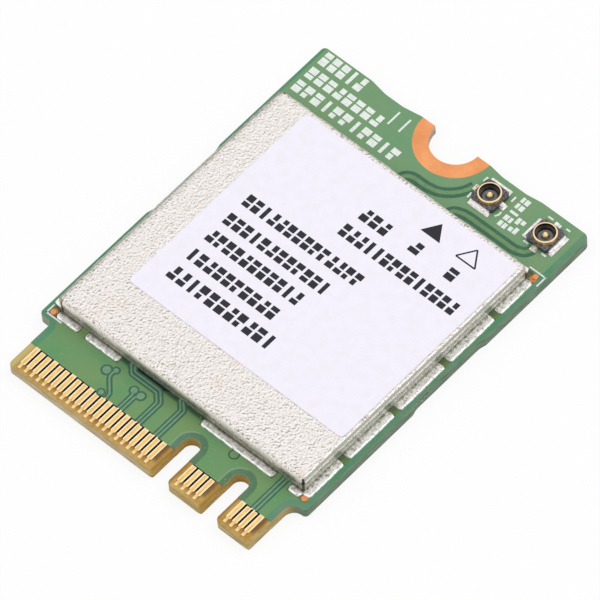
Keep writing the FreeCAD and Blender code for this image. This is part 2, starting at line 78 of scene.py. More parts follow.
def linear(colour):
    """Linear values of a colour written in screen values from 0 to 255."""
    shares = [c / 255 for c in colour]
    return tuple(s / 12.92 if s <= 0.04045 else ((s + 0.055) / 1.055) ** 2.4 for s in shares)


class Shader:
    """A node material. Its place is the object's own coordinates, in millimetres."""

    def __init__(self, name, colour=(128, 128, 128), roughness=0.5, metallic=0.0, specular=0.5):
        self.material = bpy.data.materials.new(name)
        self.material.use_nodes = True
        self.tree = self.material.node_tree
        self.surface = self.tree.nodes["Principled BSDF"]
        self.surface.inputs["Base Color"].default_value = (*linear(colour), 1)
        self.surface.inputs["Roughness"].default_value = roughness
        self.surface.inputs["Metallic"].default_value = metallic
        self.surface.inputs["Specular IOR Level"].default_value = specular
        coordinates = self.add("ShaderNodeTexCoord")
        scaled = self.add("ShaderNodeVectorMath", operation="SCALE")
        scaled.inputs["Scale"].default_value = 1 / MM
        self.tree.links.new(coordinates.outputs["Object"], scaled.inputs[0])
        self.place = scaled.outputs[0]
        split = self.add("ShaderNodeSeparateXYZ")
        self.tree.links.new(self.place, split.inputs[0])
        self.x, self.y, self.z = split.outputs

    def add(self, kind, **settings):
        """Node of a kind, with its settings."""
        node = self.tree.nodes.new(kind)
        for key, value in settings.items():
            setattr(node, key, value)
        return node

    def feed(self, socket, value):
        """Joins an output to an input, or sets the input to a number or colour."""
        if isinstance(value, bpy.types.NodeSocket):
            self.tree.links.new(value, socket)
        elif isinstance(value, tuple):
            socket.default_value = (*linear(value), 1)
        else:
            socket.default_value = value

    def calc(self, operation, *values):
        """One step of arithmetic, on outputs or numbers."""
        node = self.add("ShaderNodeMath", operation=operation)
        for socket, value in zip(node.inputs, values):
            self.feed(socket, value)
        return node.outputs[0]

    def chain(self, operation, first, *others):
        """The same step over two or more values, in turn."""
        for other in others:
            first = self.calc(operation, first, other)
        return first

    def times(self, *values):
        return self.chain("MULTIPLY", *values)

    def most(self, *values):
        return self.chain("MAXIMUM", *values)

    def least(self, *values):
        return self.chain("MINIMUM", *values)

    def plus(self, first, second):
        return self.calc("ADD", first, second)

    def minus(self, first, second):
        return self.calc("SUBTRACT", first, second)

    def unsigned(self, value):
        return self.calc("ABSOLUTE", value)

    def noise(self, scale, detail=2.0, roughness=0.5, stretch=(1, 1, 1), shift=(0, 0, 0)):
        """Noise over the object, pulled out or shifted by some millimetres."""
        node = self.add("ShaderNodeTexNoise")
        node.inputs["Scale"].default_value = scale
        node.inputs["Detail"].default_value = detail
        node.inputs["Roughness"].default_value = roughness
        place = self.place
        if stretch != (1, 1, 1):
            pulled = self.add("ShaderNodeVectorMath", operation="MULTIPLY")
            self.tree.links.new(place, pulled.inputs[0])
            pulled.inputs[1].default_value = stretch
            place = pulled.outputs[0]
        if shift != (0, 0, 0):
            moved = self.add("ShaderNodeVectorMath", operation="ADD")
            self.tree.links.new(place, moved.inputs[0])
            moved.inputs[1].default_value = shift
            place = moved.outputs[0]
        self.tree.links.new(place, node.inputs["Vector"])
        return node.outputs["Fac"]

    def ramp(self, value, *stops):
        """Colour or grey value by position, from stops (position, colour or number)."""
        node = self.add("ShaderNodeValToRGB")
        elements = node.color_ramp.elements
        while len(elements) < len(stops):
            elements.new(0.5)
        for element, (position, colour) in zip(elements, stops):
            element.position = position
            element.color = (*linear(colour), 1) if isinstance(colour, tuple) else (colour, colour, colour, 1)
        self.feed(node.inputs[0], value)
        return node.outputs[0]

    def between(self, value, low, high):
        """0 below low, 1 above high, and smooth in between. It falls where low is the larger."""
        node = self.add("ShaderNodeMapRange", interpolation_type="SMOOTHSTEP")
        self.feed(node.inputs["Value"], value)
        flip = low > high
        node.inputs["From Min"].default_value = min(low, high)
        node.inputs["From Max"].default_value = max(low, high)
        node.inputs["To Min"].default_value = 1.0 if flip else 0.0
        node.inputs["To Max"].default_value = 0.0 if flip else 1.0
        return node.outputs["Result"]

    def ramp_number(self, value, low, first, high, second):
        """Number that runs from first at low to second at high, and stays there beyond them."""
        node = self.add("ShaderNodeMapRange")
        self.feed(node.inputs["Value"], value)
        node.inputs["From Min"].default_value = low
        node.inputs["From Max"].default_value = high
        node.inputs["To Min"].default_value = first
        node.inputs["To Max"].default_value = second
        return node.outputs["Result"]

    def inside(self, value, low, high, blur):
        """1 between low and high, fading to 0 outside them."""
        rise = self.between(value, low - blur, low)
        return self.times(rise, self.between(value, high + blur, high))

    def mix(self, share, first, second):
        """The first colour, which turns into the second as the share goes from 0 to 1."""
        node = self.add("ShaderNodeMix", data_type="RGBA")
        self.feed(node.inputs["Factor"], share)
        self.feed(node.inputs[6], first)
        self.feed(node.inputs[7], second)
        return node.outputs[2]

    def colour(self, value):
        self.feed(self.surface.inputs["Base Color"], value)
        return self

    def roughness(self, value):
        self.feed(self.surface.inputs["Roughness"], value)
        return self

    def normal(self):
        """The surface's own direction, as three numbers."""
        geometry = self.add("ShaderNodeNewGeometry")
        parts = self.add("ShaderNodeSeparateXYZ")
        self.tree.links.new(geometry.outputs["True Normal"], parts.inputs[0])
        return parts.outputs

    def bump(self, height, depth):
        """Relief from a grey value, with its depth in millimetres."""
        node = self.add("ShaderNodeBump")
        node.inputs["Strength"].default_value = 1.0
        node.inputs["Distance"].default_value = depth * MM
        self.feed(node.inputs["Height"], height)
        self.tree.links.new(node.outputs["Normal"], self.surface.inputs["Normal"])
        return self


def rounded_distance(s, across, along, radius=0.0):
    """Distance from a circle of some radius, from the distances across and along to its centre."""
    return s.minus(s.calc("SQRT", s.plus(s.times(across, across), s.times(along, along))), radius)


def notch_distance(s):
    """Distance from the nearer key notch, in millimetres."""
    along = s.most(s.minus(s.y, NOTCH_TOP - NOTCH_RADIUS), 0)
    return s.least(*[rounded_distance(s, s.minus(s.x, x), along, NOTCH_RADIUS) for x in NOTCH_X])


def side_distance(s):
    """Distance inwards from the board's long sides and shoulders, which grows faster on the left side."""
    sides = [s.minus(HALF_WIDTH, s.x)]
    sides.append(s.times(s.plus(HALF_WIDTH, s.x), s.ramp_number(s.y, -9.5, 1.0, -7.0, 2.2)))
    for side, radius in SHOULDER_FILLETS:
        across = s.minus(TONGUE_HALF + radius, s.times(s.x, side))
        along = s.minus(s.y, SHOULDER_Y - radius)
        sides.append(rounded_distance(s, s.most(across, 0), s.most(along, 0), radius))
    return s.least(*sides)


def mask_material():
    """Green lacquer: yellowish over copper, emerald or grey green in a band along the board's edge."""
    s = Shader("green_lacquer", roughness=0.38, specular=0.35)
    broad = s.noise(0.35, 3, 0.6)
    patchy = s.noise(0.8, 3)
    fine = s.noise(7, 2)
    side = side_distance(s)
    notch = notch_distance(s)
    inner = s.ramp(broad, (0.30, (92, 148, 96)), (0.50, (108, 148, 96)), (0.70, (116, 150, 92)))
    inner = s.mix(s.times(s.between(s.y, 9.8, 10.6), 0.38), inner, (124, 158, 128))
    emerald = s.ramp(patchy, (0.35, (74, 138, 98)), (0.6, (98, 139, 110)))
    grey_green = s.ramp(patchy, (0.35, (78, 116, 80)), (0.65, (92, 124, 98)))
    with_side = s.mix(s.between(side, 0.40, 0.52), emerald, inner)
    banded = s.mix(s.between(notch, 0.42, 0.52), grey_green, with_side)
    # Painted highlight on the left part of the ridge round each key notch's band
    ridge_highlight = s.times(s.inside(notch, 0.44, 0.50, 0.05), s.between(s.calc("MODULO", s.x, 4.0), 2.6, 2.2))
    lit = s.mix(s.times(ridge_highlight, 0.7), banded, (134, 164, 134))
    # On the upper face only: painted shade at the can's front foot, and dark olive painted shade in the gaps
    # between the strips on the right, darkest beside the wall
    upper = s.between(s.z, 0.60, 0.70)
    foot_shade = s.times(s.between(s.y, -10.44, -10.14), s.inside(s.x, -5.2, 2.0, 0.3),
                   s.between(s.y, -9.0, -9.5), upper)
    gap = s.times(s.inside(s.x, 9.9, 10.54, 0.04), s.inside(s.y, -9.0, 9.6, 0.2), upper, 0.75)
    olive_gap_shade = s.ramp(s.between(s.x, 10.05, 10.45), (0.0, (52, 64, 30)), (1.0, (98, 116, 60)))
    shaded = s.mix(gap, s.mix(foot_shade, lit, (36, 78, 50)), olive_gap_shade)
    worn = s.mix(s.between(s.least(side, notch), 0.07, 0.0), shaded, (104, 136, 106))
    s.colour(s.mix(s.between(fine, 0.64, 0.82), worn, (128, 164, 120)))
    s.roughness(s.ramp(fine, (0.3, 0.30), (0.7, 0.45)))
    return s.bump(s.noise(2.5, 3), 0.010).material


def contact_shadow(s, base):
    """Laminate of the tongue with painted shadow: near black in the gaps between contacts, brown in front of
    and beside them.
    """
    upper = s.between(s.z, 0.5, 0.6)
    gaps = s.most(*[s.inside(s.x, left, right, 0.03) for left, right in CONTACT_GROUPS])
    beside_shadow = s.most(*[s.times(s.between(s.x, right - 0.1, right), s.between(s.x, right + 0.48, right + 0.12))
                      for left, right in CONTACT_GROUPS])
    front_shadowed = s.mix(s.times(gaps, s.between(s.y, -14.75, -14.35), upper, 0.75), base, (138, 98, 42))
    shaded = s.mix(s.times(beside_shadow, s.between(s.y, -14.45, -14.0), upper, 0.75), front_shadowed, (92, 58, 44))
    gap_shadow_black = s.ramp(s.noise(6, 2), (0.4, (14, 5, 2)), (0.65, (40, 20, 6)))
    return s.mix(s.times(gaps, s.between(s.y, -14.48, -14.08), upper), shaded, gap_shadow_black)


def laminate_material():
    """Glass laminate: tan where it is bare, with a faint weave, greyer along the cut edges."""
    s = Shader("laminate", roughness=0.55, specular=0.10)
    weave = s.add("ShaderNodeTexWave", wave_type="BANDS", bands_direction="X")
    weft = s.add("ShaderNodeTexWave", wave_type="BANDS", bands_direction="Y")
    for wave in (weave, weft):
        wave.inputs["Scale"].default_value = 0.75
        wave.inputs["Distortion"].default_value = 1.2
        s.tree.links.new(s.place, wave.inputs["Vector"])
    cross = s.times(weave.outputs["Fac"], weft.outputs["Fac"])
    tan = s.ramp(s.noise(0.9, 3), (0.3, (172, 134, 66)), (0.5, (185, 150, 84)), (0.7, (199, 168, 102)))
    woven = s.mix(s.times(cross, 0.25), tan, (214, 185, 118))
    pale = s.mix(s.between(s.x, -9.40, -9.72), woven, (196, 179, 121))
    notch = notch_distance(s)
    side = side_distance(s)
    face = s.mix(s.between(notch, 0.30, 0.04), pale, (158, 118, 50))
    face = contact_shadow(s, face)
    layers = s.noise(3, 2, 0.5, (0.3, 0.3, 6))
    cut = s.ramp(layers, (0.32, (86, 108, 86)), (0.5, (108, 130, 108)), (0.68, (140, 154, 134)))
    pale_cut = s.ramp(layers, (0.32, (162, 142, 108)), (0.5, (194, 176, 142)), (0.68, (216, 202, 174)))
    gold_cut = s.ramp(layers, (0.32, (148, 126, 76)), (0.5, (182, 158, 104)), (0.68, (206, 186, 138)))
    tongue_cut = s.mix(s.between(s.x, -1.0, 3.0), pale_cut, gold_cut)
    notch_cut = s.ramp(layers, (0.32, (150, 118, 52)), (0.5, (182, 148, 74)), (0.68, (206, 176, 104)))
    cut = s.mix(s.times(s.between(s.x, -9.4, -9.9), 0.7), cut, (158, 170, 144))
    edge = s.mix(s.between(s.y, -10.9, -11.6), cut, tongue_cut)
    edge = s.mix(s.between(notch, 0.10, 0.02), edge, notch_cut)
    plated = s.ramp(layers, (0.35, (168, 138, 124)), (0.6, (204, 182, 168)))
    ring = rounded_distance(s, s.x, s.minus(s.y, HALF_LENGTH))
    edge = s.mix(s.between(ring, 1.85, 1.80), edge, plated)
    normal = s.normal()
    upright = s.between(s.unsigned(normal[2]), 0.80, 0.60)
    s.colour(s.mix(upright, face, edge))
    return s.bump(s.noise(14, 3), 0.006).material


def contact_gold_material():
    """Gold contact: deeper along its middle, with painted highlights along its rims and at both its ends."""
    s = Shader("contact_gold", roughness=0.38, metallic=0.75)
    always_positive = s.plus(s.x, 40 * CONTACT_PITCH)
    across = s.unsigned(s.minus(s.calc("MODULO", always_positive, CONTACT_PITCH), CONTACT_PITCH / 2))
    streak = s.noise(7, 3, 0.6, (1.6, 0.5, 1.0))
    middle = s.ramp(streak, (0.30, (222, 170, 90)), (0.5, (239, 195, 116)), (0.70, (249, 213, 148)))
    # Painted highlight along both rims of each contact, and at both its ends
    rim = s.times(s.between(across, 0.06, 0.14), 0.85)
    pale = s.mix(rim, middle, (255, 244, 208))
    end_highlights = s.most(s.between(s.y, -13.10, -12.98), s.between(s.y, -14.45, -14.65))
    s.colour(s.mix(s.times(end_highlights, 0.55), pale, (252, 226, 190)))
    return s.bump(s.noise(16, 3), 0.008).material


def metal(name, dark, middle, light, roughness, metallic=1.0, scale=6.0, depth=0.006):
    """Metal with a blotchy finish between three colours."""
    s = Shader(name, middle, roughness, metallic)
    blotch = s.noise(scale, 3, 0.6)
    s.colour(s.ramp(blotch, (0.32, dark), (0.5, middle), (0.68, light)))
    return s.bump(s.noise(scale * 2.2, 3), depth).material


def moulded(name, dark, light, roughness, scale=9.0):
    """Moulded or printed matter with a fine grain between two colours."""
    s = Shader(name, light, roughness, 0.0, 0.4)
    s.colour(s.ramp(s.noise(scale, 3), (0.35, dark), (0.65, light)))
    return s.bump(s.noise(scale * 2, 2), 0.004).material


def sheet_grain(s, crinkle):
    """Orange-peel colours of the tinned sheet: painted light and shade on its grain, with dark crescents of
    painted shade in its hollows, and faint warm stains.
    """
    # The difference of two shifted noises paints the grain lit on one side and shaded on the other
    lit_slope = s.minus(s.noise(6.2, 2, 0.55, shift=(0.038, -0.021, 0.015)), crinkle)
    tone = s.ramp(s.minus(0.5, lit_slope), (0.40, (210, 203, 198)), (0.47, (229, 223, 219)),
                  (0.53, (237, 231, 227)), (0.60, (248, 244, 242)))
    stain = s.mix(s.between(s.noise(0.45, 3, 0.6), 0.60, 0.78), tone, (232, 216, 206))
    shade_spread = s.ramp_number(s.noise(0.9, 3, 0.6), 0.40, 0.034, 0.62, 0.0)
    crescent_shade = s.between(s.minus(lit_slope, shade_spread), 0.072, 0.110)
    # More of the crescents' painted shade towards the front
    depth = s.ramp_number(s.y, -9.0, 0.78, -3.0, 0.45)
    return s.mix(s.times(crescent_shade, depth), stain, (126, 116, 104))


def sheet_lines(s, across, along):
    """How strongly the can is shaded along its bends, its skirt's hem, the frame's wall and its foot."""
    side_bend = s.times(s.between(across, 9.89, 9.95), s.inside(s.z, 1.87, 2.03, 0.03), 0.60)
    end_bend = s.times(s.between(along, 9.99, 10.05), s.inside(s.z, 1.95, 2.043, 0.02), 0.28)
    hem = s.times(s.inside(s.z, 1.48, 1.60, 0.07), 0.52)
    wall = s.times(s.between(s.z, 1.48, 1.46), s.ramp_number(s.z, 1.02, 0.16, 1.30, 0.56))
    foot_shade = s.times(s.between(s.z, 0.89, 0.85), 0.55)
    return s.most(side_bend, end_bend, hem, wall, foot_shade)


def shield_material():
    """Tinned sheet with an orange-peel grain.

    It is smooth and painted bright on its walls, specked and darkened by painted shade along its bends, with
    painted olive shade below the lid's skirt, blotches of painted shade low on its walls and dark painted
    shade in the slits at its corners."""
    s = Shader("tinned_sheet", roughness=0.38, metallic=0.75)
    crinkle = s.noise(6.2, 2, 0.55)
    across = s.unsigned(s.x)
    along = s.unsigned(s.minus(s.y, CAN_MIDDLE))
    edges = s.most(s.times(s.between(across, 9.62, 9.90), 0.40), s.times(s.between(along, 9.78, 10.04), 0.75))
    specks = s.between(s.noise(6.0, 3, 0.65), 0.54, 0.61)
    specked = s.mix(s.times(specks, edges), sheet_grain(s, crinkle), (92, 76, 54))
    normal = s.normal()
    end_wall = s.between(s.unsigned(normal[1]), 0.5, 0.9)
    side_wall = s.between(s.unsigned(normal[0]), 0.5, 0.9)
    # Painted light: the walls are painted near white, the end walls only on the skirt
    skirt = s.between(s.z, 1.46, 1.52)
    lit = s.mix(s.times(end_wall, skirt, 0.90), specked, (255, 246, 242))
    bright = s.mix(s.times(side_wall, 0.85), lit, (255, 253, 247))
    # Painted shade along the bends, the skirt's hem, the frame's wall and its foot
    lined = s.mix(sheet_lines(s, across, along), bright, (92, 92, 66))
    # Blotches of dark olive painted shade on the walls, below the bend
    wall_blotch_shade = s.between(s.noise(4.2, 3, 0.7), 0.50, 0.60)
    low = s.times(s.most(end_wall, side_wall), s.between(s.z, 1.92, 1.70))
    wall_shaded = s.mix(s.times(wall_blotch_shade, low, 0.40), lined, (66, 60, 36))
    # Painted shade in the slits at the can's corners
    slit_shade = s.times(s.between(across, 9.84, 9.88), s.between(along, 9.99, 10.03), 0.9)
    s.colour(s.mix(slit_shade, wall_shaded, (64, 44, 30)))
    s.roughness(s.ramp(crinkle, (0.35, 0.46), (0.65, 0.34)))
    return s.bump(crinkle, 0.020).material


def solder_material():
    """Tin with a painted highlight along the outer rim, greyer painted reflection in the middle and painted
    brown green shade beside the wall.
    """
    s = Shader("bright_solder", roughness=0.40, metallic=0.45)
    tone = s.add("ShaderNodeAttribute", attribute_name="tone").outputs["Fac"]
    lumps = s.noise(4.5, 3, 0.6)
    bright = s.ramp(lumps, (0.34, (180, 179, 172)), (0.46, (240, 239, 235)), (0.58, (255, 255, 254)))
    grey_reflection = s.ramp(lumps, (0.34, (136, 137, 126)), (0.50, (200, 200, 192)), (0.64, (244, 244, 238)))
    shade = s.ramp(lumps, (0.35, (84, 88, 64)), (0.65, (128, 130, 104)))
    # The tone paints highlight, reflection and shade across the strip
    body = s.mix(s.ramp_number(tone, 0.0, 0.0, 0.5, 1.0), bright, grey_reflection)
    s.colour(s.mix(s.ramp_number(tone, 0.5, 0.0, 1.0, 1.0), body, shade))
    return s.bump(lumps, 0.03).material


def can_land_material():
    """Land round the can: brown green with flux, and bare copper in a small spot at three corners."""
    s = Shader("stained_land", roughness=0.5, metallic=0.2)
    stained = s.ramp(s.noise(5, 3), (0.35, (60, 70, 38)), (0.55, (88, 96, 56)), (0.7, (120, 118, 80)))
    rust = s.ramp(s.noise(9, 2), (0.35, (196, 110, 58)), (0.65, (232, 142, 84)))
    rear = s.between(s.y, 0.0, 1.0)
    rear_right = s.times(s.between(s.x, 0.0, 1.0), rear)
    rear_left = s.times(s.between(s.x, 0.0, -1.0), rear)
    across = s.minus(s.unsigned(s.x), 10.36)
    reach = s.minus(10.46, s.times(rear_right, 0.14))
    along = s.minus(s.unsigned(s.minus(s.y, CAN_MIDDLE)), reach)
    wide = s.plus(rounded_distance(s, across, along), s.times(s.noise(5, 2), 0.12))
    bare = s.times(s.between(wide, 0.33, 0.28), s.minus(1.0, rear_left))
    s.colour(s.mix(bare, stained, rust))
    return s.bump(s.noise(9, 3), 0.012).material


def jack_radius(s):
    """Distance from the axis of the nearer antenna jack, in plan."""
    return s.least(*[rounded_distance(s, s.minus(s.x, x), s.minus(s.y, y)) for x, y in JACKS])


def jack_gold_material():
    """Gold ring: painted highlight on its rim, mottled barrel, near black painted shade inside. Its feet are
    covered with solder.
    """
    s = Shader("jack_gold", roughness=0.32, metallic=0.55)
    reach = jack_radius(s)
    # Painted highlight on the ring's top, and painted shade inside the ring
    rim = s.between(s.z, 1.350, 1.375)
    mottled = s.noise(4, 3)
    barrel = s.ramp(mottled, (0.35, (186, 138, 70)), (0.50, (230, 182, 102)), (0.66, (255, 224, 158)))
    bowl_shade = s.ramp(mottled, (0.35, (12, 9, 8)), (0.65, (48, 32, 18)))
    wall = s.mix(s.between(reach, 0.735, 0.72), barrel, bowl_shade)
    gold = s.mix(rim, wall, (252, 228, 178))
    tin = s.ramp(s.noise(6, 3), (0.35, (208, 201, 199)), (0.5, (244, 239, 237)), (0.65, (255, 253, 252)))
    s.colour(s.mix(s.between(reach, 0.80, 0.86), gold, tin))
    return s.bump(s.noise(12, 2), 0.006).material


def jack_pin_material():
    """Gold centre pin, with a solder-covered foot outside the moulding."""
    s = Shader("pin_gold", roughness=0.30, metallic=0.55)
    gold = s.ramp(s.noise(9, 3), (0.32, (240, 196, 124)), (0.5, (255, 226, 160)), (0.68, (255, 242, 204)))
    tin = s.ramp(s.noise(7, 3), (0.35, (176, 156, 136)), (0.55, (226, 212, 196)), (0.7, (250, 244, 236)))
    s.colour(s.mix(s.between(jack_radius(s), 0.5, 0.6), gold, tin))
    return s.bump(s.noise(12, 2), 0.005).material


def jack_black_material():
    """Moulded block: violet black outside the ring, with a faint grey ring on the floor inside it and painted
    shade on its upright faces.
    """
    s = Shader("jack_moulding", roughness=0.38, metallic=0.0, specular=0.4)
    reach = jack_radius(s)
    grain = s.noise(7, 3, 0.6)
    outer = s.ramp(grain, (0.35, (52, 50, 56)), (0.5, (84, 82, 88)), (0.65, (122, 120, 126)))
    floor = s.ramp(grain, (0.35, (58, 56, 60)), (0.65, (88, 86, 90)))
    ringed = s.mix(s.times(s.inside(reach, 0.32, 0.44, 0.06), 0.6), floor, (150, 148, 152))
    flat = s.mix(s.between(reach, 0.56, 0.62), ringed, outer)
    # Painted shade: the upright faces are darker than the flat ones
    upright = s.between(s.unsigned(s.normal()[2]), 0.7, 0.5)
    s.colour(s.mix(s.times(upright, 0.65), flat, (30, 32, 40)))
    return s.bump(s.noise(14, 2), 0.004).material


def plain(name, colour, roughness, specular, scale=6.0, dimmed=0.93):
    """Thin print or lacquer with only a slight change of tone, down to a share of its colour."""
    s = Shader(name, colour, roughness, 0.0, specular)
    darker = tuple(int(c * dimmed) for c in colour)
    s.colour(s.ramp(s.noise(scale, 2), (0.35, darker), (0.6, colour)))
    return s.material


MASK = mask_material()
LAMINATE = laminate_material()
CONTACT_GOLD = contact_gold_material()
COPPER = metal("bare_copper", (226, 146, 88), (234, 154, 95), (240, 164, 105), 0.48, 0.45, 0.8, 0.004)
TIN = metal("tin_pad", (196, 190, 192), (228, 224, 228), (250, 248, 250), 0.34, 0.7, 7.0, 0.012)
SHIELD = shield_material()
SOLDER = solder_material()
CAN_LAND = can_land_material()
JACK_GOLD = jack_gold_material()
PIN_GOLD = jack_pin_material()
JACK_BLACK = jack_black_material()
CHIP_BLACK = moulded("chip_moulding", (26, 26, 28), (44, 44, 46), 0.6)
LEAD = metal("tinned_lead", (176, 176, 174), (204, 204, 200), (226, 226, 224), 0.4)
CERAMIC = moulded("ceramic", (158, 132, 100), (190, 164, 128), 0.55)
RESISTOR = moulded("glazed_black", (18, 18, 20), (36, 36, 40), 0.3)
FERRITE = moulded("ferrite", (52, 52, 54), (84, 84, 86), 0.7)
WHITE_FILM = plain("label_film", (245, 242, 253), 0.6, 0.2, 1.5, 0.988)
PRINT = plain("label_print", (46, 45, 50), 0.6, 0.2)
SILK = plain("white_print", (236, 244, 238), 0.6, 0.3, 9.0)
CLEARANCE = plain("bare_clearance", (62, 108, 84), 0.4, 0.3, 3.0)
CLEARANCE_DARK = plain("shaded_clearance", (14, 46, 32), 0.5, 0.15, 3.0)
RING_DARK = plain("ring_clearance", (40, 84, 62), 0.4, 0.3, 3.0)
TRACK = plain("lacquered_track", (116, 156, 122), 0.4, 0.35, 5.0)
ANTENNA_TRACK = plain("lacquered_antenna_track", (110, 148, 100), 0.4, 0.35, 3.0)
FIBRE = moulded("glass_fibre", (120, 124, 108), (206, 206, 190), 0.6, 12.0)

node_materials = {
    "circuit_board": LAMINATE, "solder_mask_top": MASK, "solder_mask_bottom": MASK,
    "edge_contacts_top": CONTACT_GOLD, "edge_contacts_bottom": CONTACT_GOLD, "screw_land_top": COPPER,
    "screw_land_bottom": COPPER, "test_pads": CONTACT_GOLD, "shield_lands": CAN_LAND, "shield_frame": SHIELD,
    "shield_lid": SHIELD, "label": WHITE_FILM, "jack_lands": TIN, "jack_solder": TIN,
    "radio_chip": CHIP_BLACK, "radio_chip_leads": LEAD, "crystal_base": CERAMIC, "crystal_lid": LEAD,
    "main_front_end_module": CHIP_BLACK, "aux_front_end_module": CHIP_BLACK, "antenna_filters": CERAMIC,
    "memory_chip": CHIP_BLACK, "supply_regulator": CHIP_BLACK, "supply_coils": FERRITE,
    "capacitors": CERAMIC, "resistors": RESISTOR, "component_solder": LEAD, "shield_solder": TIN,
    "main_jack_shell": JACK_GOLD, "main_jack_insulator": JACK_BLACK, "main_jack_pin": PIN_GOLD,
    "aux_jack_shell": JACK_GOLD, "aux_jack_insulator": JACK_BLACK, "aux_jack_pin": PIN_GOLD,
}
for name, node in nodes.items():
    node.data.materials.clear()
    node.data.materials.append(node_materials[name])


# Meshes

def piece(name, vertices, faces, material, smooth=False):
    """Object from points in millimetres, riding on the one body."""
    mesh = bpy.data.meshes.new(name)
    mesh.from_pydata([[c * MM for c in v] for v in vertices], [], faces)
    mesh.validate()
    mesh.polygons.foreach_set("use_smooth", [smooth] * len(mesh.polygons))
    mesh.materials.append(material)
    mesh.update()
    obj = bpy.data.objects.new(name, mesh)
    bpy.context.scene.collection.objects.link(obj)
    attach(obj, "root")
    return obj


def prism_faces(start, n):
    """Faces of a prism from its n lower points, followed by its n upper ones."""
    upper = [start + n + i for i in range(n)]
    lower = [start + n - 1 - i for i in range(n)]
    walls = [[start + i, start + (i + 1) % n, start + n + (i + 1) % n, start + n + i] for i in range(n)]
    return [upper, lower] + walls


def sheet_faces(start, wide, deep, step_wide, step_deep):
    """Faces of a closed sheet from a grid of upper points, followed by a like grid of lower ones.

    A step is the distance in the list between two neighbours, across or along."""
    def point(i, j):
        return start + i * step_wide + j * step_deep

    n = wide * deep
    faces = []
    for j in range(deep - 1):
        for i in range(wide - 1):
            corners = [point(i, j), point(i + 1, j), point(i + 1, j + 1), point(i, j + 1)]
            faces += [corners, [n + corner for corner in reversed(corners)]]
    rim = [point(i, 0) for i in range(wide)]
    rim += [point(wide - 1, j) for j in range(1, deep)]
    rim += [point(i, deep - 1) for i in range(wide - 2, -1, -1)]
    rim += [point(0, j) for j in range(deep - 2, 0, -1)]
    return faces + [[b, a, n + a, n + b] for a, b in zip(rim, rim[1:] + rim[:1])]


def prisms(name, outlines, low, high, material, step=0.0):
    """Closed flat pieces, one for each outline, all in one object.

    A step makes each a little thicker than the one before, so that faces that overlap don't coincide."""
    vertices = []
    faces = []
    for i, outline in enumerate(outlines):
        if area(outline) < 0:
            outline = outline[::-1]
        faces += prism_faces(len(vertices), len(outline))
        vertices += [(x, y, low - i * step) for x, y in outline]
        vertices += [(x, y, high + i * step) for x, y in outline]
    return piece(name, vertices, faces, material)


def area(outline):
    """Area of an outline, below zero where it runs clockwise."""
    return sum(x0 * y1 - x1 * y0 for (x0, y0), (x1, y1) in zip(outline, outline[1:] + outline[:1])) / 2


def box_outline(x0, x1, y0, y1):
    return [(x0, y0), (x1, y0), (x1, y1), (x0, y1)]


def circle(x, y, radius, count=36):
    angles = [2 * math.pi * i / count for i in range(count)]
    return [(x + radius * math.cos(angle), y + radius * math.sin(angle)) for angle in angles]


def eased(path, radius, steps=6):
    """The same open path with its inner corners rounded."""
    points = [path[0]]
    for before, here, after in zip(path, path[1:], path[2:]):
        before, here, after = Vector(before), Vector(here), Vector(after)
        reach = min(radius, (before - here).length / 2, (after - here).length / 2)
        start = here + (before - here).normalized() * reach
        end = here + (after - here).normalized() * reach
        for i in range(steps + 1):
            t = i / steps
            points.append(tuple(start * (1 - t) ** 2 + here * 2 * t * (1 - t) + end * t * t))
    points.append(path[-1])
    kept = points[:1]
    for point in points[1:]:
        if math.dist(point, kept[-1]) > 0.01:
            kept.append(point)
    return kept


def ribbon(path, width):
    """Outline of a line of even width along an open path."""
    left = []
    right = []
    for i, (x, y) in enumerate(path):
        before = Vector(path[max(i - 1, 0)])
        after = Vector(path[min(i + 1, len(path) - 1)])
        along = (after - before).normalized()
        stretch = 1.0
        if 0 < i < len(path) - 1:
            first = (Vector(path[i]) - before).normalized()
            stretch = 1 / max(0.5, first.dot(along))
        side = Vector((-along.y, along.x)) * width / 2 * stretch
        left.append((x + side.x, y + side.y))
        right.append((x - side.x, y - side.y))
    return left + right[::-1]


# Tracks that show through the lacquer: path, track width, clearance on each side
signal_tracks = [
    ([(-4.55, -11.02), (-4.62, -11.42), (-4.52, -11.66), (-3.72, -12.50), (-3.66, -12.90)], 0.12, 0.13),
    ([(-2.72, -11.40), (-2.61, -11.70), (-2.61, -12.90)], 0.12, 0.115),
    ([(-2.15, -11.40), (-2.37, -11.70), (-2.37, -12.90)], 0.12, 0.115),
    ([(-4.22, -10.02), (-3.68, -10.60), (-1.62, -10.60), (-1.10, -11.12), (-1.10, -12.90)], 0.11, 0.125),
    ([(-3.92, -10.02), (-3.62, -10.34), (-1.52, -10.34), (-0.86, -11.00), (-0.86, -12.90)], 0.11, 0.125),
    ([(-0.18, -10.02), (0.38, -10.60), (0.38, -12.90)], 0.12, 0.12),
    ([(0.08, -10.02), (0.62, -10.50), (0.62, -12.90)], 0.12, 0.12),
    ([(8.42, -10.02), (8.42, -12.90)], 0.13, 0.11),
    ([(8.67, -10.02), (8.67, -12.90)], 0.13, 0.11),
]
antenna_tracks = [
    ([(-0.80, 10.40), (-0.80, 10.95), (-0.35, 11.27), (0.80, 11.28), (1.60, 11.42), (2.30, 11.88),
      (2.85, 12.55), (3.08, 13.20)], 0.28, 0.25),
    ([(3.20, 10.40), (3.20, 10.92), (3.75, 11.24), (4.40, 11.30), (8.10, 11.30), (8.72, 11.58),
      (8.92, 12.05)], 0.28, 0.24),
]
via_pads = [(-5.03, -11.35, 0.27, 0.13), (-4.55, -11.02, 0.17, 0.12), (-2.75, -11.36, 0.22, 0.12),
            (-2.15, -11.40, 0.24, 0.13), (-4.20, -12.76, 0.18, 0.12)]
clearances = []
copper = []
